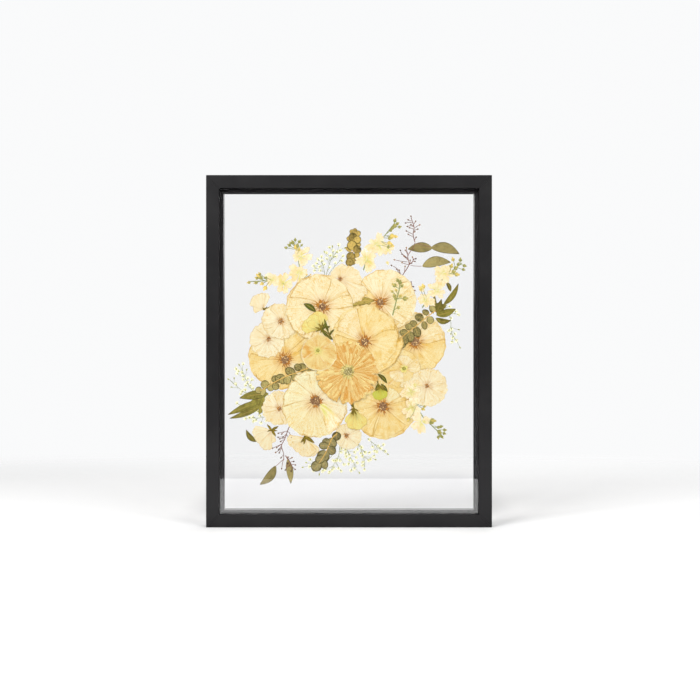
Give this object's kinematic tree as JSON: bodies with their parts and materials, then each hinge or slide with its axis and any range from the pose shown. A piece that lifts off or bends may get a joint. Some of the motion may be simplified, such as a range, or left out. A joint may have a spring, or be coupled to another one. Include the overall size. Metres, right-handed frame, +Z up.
{
  "type": "pressed flower frame",
  "caption": "Upright black wooden frame with mitred corners, holding a bouquet of pressed cream flowers and leaves between clear glass panes.",
  "frame": {"origin": "middle of the bottom of the frame's box, on the surface that it stands on", "axes": "+X to the viewer's right across the frame, -Y out of its front, +Z up along its height"},
  "size_m": [0.437, 0.0404, 0.5386],
  "materials": {
    "rail_paint": "satin black paint",
    "stop_paint": "satin black paint",
    "pane": "gloss",
    "hanger_plate": "satin",
    "nail_steel": "satin",
    "rose_petal": "matte dried petal",
    "fringed_petal": "matte dried petal",
    "ranunculus_petal": "matte dried petal",
    "small_petal": "matte dried petal",
    "bud_petal": "matte dried petal",
    "eucalyptus_leaf": "matte dried leaf",
    "stock_petal": "matte dried petal",
    "breath_floret": "matte dried petal",
    "dark_leaf": "matte dried leaf",
    "seeded_leaf": "matte dried leaf"
  },
  "bodies": {
    "root": {"rail_bottom": "rail_paint", "rail_left": "rail_paint", "rail_top": "rail_paint", "rail_right": "rail_paint", "stop_bottom": "stop_paint", "stop_left": "stop_paint", "stop_top": "stop_paint", "stop_right": "stop_paint", "glass_front": "pane", "glass_back": "pane", "hanger": "hanger_plate", "hanger_nail_left": "nail_steel", "hanger_nail_right": "nail_steel", "rose_top_left": "rose_petal", "rose_top_right": "rose_petal", "rose_middle": "rose_petal", "rose_left": "rose_petal", "rose_bottom_left": "rose_petal", "rose_bottom_right": "rose_petal", "rose_right": "rose_petal", "fringed_bloom": "fringed_petal", "ranunculus_small": "ranunculus_petal", "ranunculus_pale": "ranunculus_petal", "small_bloom_upper_left": "small_petal", "small_bloom_left": "small_petal", "small_bloom_lower_left": "small_petal", "small_bloom_bottom": "small_petal", "small_bloom_right": "small_petal", "small_bloom_top": "small_petal", "half_bloom_left": "small_petal", "half_bloom_lower_left": "small_petal", "half_bloom_bottom": "small_petal", "bud_left": "bud_petal", "bud_green": "bud_petal", "bud_bottom": "bud_petal", "eucalyptus_top": "eucalyptus_leaf", "eucalyptus_left": "eucalyptus_leaf", "eucalyptus_bottom": "eucalyptus_leaf", "eucalyptus_right": "eucalyptus_leaf", "stock_stem_top": "stock_petal", "stock_stem_left": "stock_petal", "stock_stem_top_right": "stock_petal", "stock_stem_right": "stock_petal", "stock_stem_lower_right": "stock_petal", "stock_bud_stem": "stock_petal", "breath_spray_top": "breath_floret", "breath_spray_left": "breath_floret", "breath_spray_bottom": "breath_floret", "breath_spray_right": "breath_floret", "leaf_cluster_left": "dark_leaf", "leaf_cluster_right": "dark_leaf", "folded_leaf": "dark_leaf", "seeded_eucalyptus_top_right": "seeded_leaf", "seeded_eucalyptus_bottom_left": "seeded_leaf"}
  },
  "joints": []
}
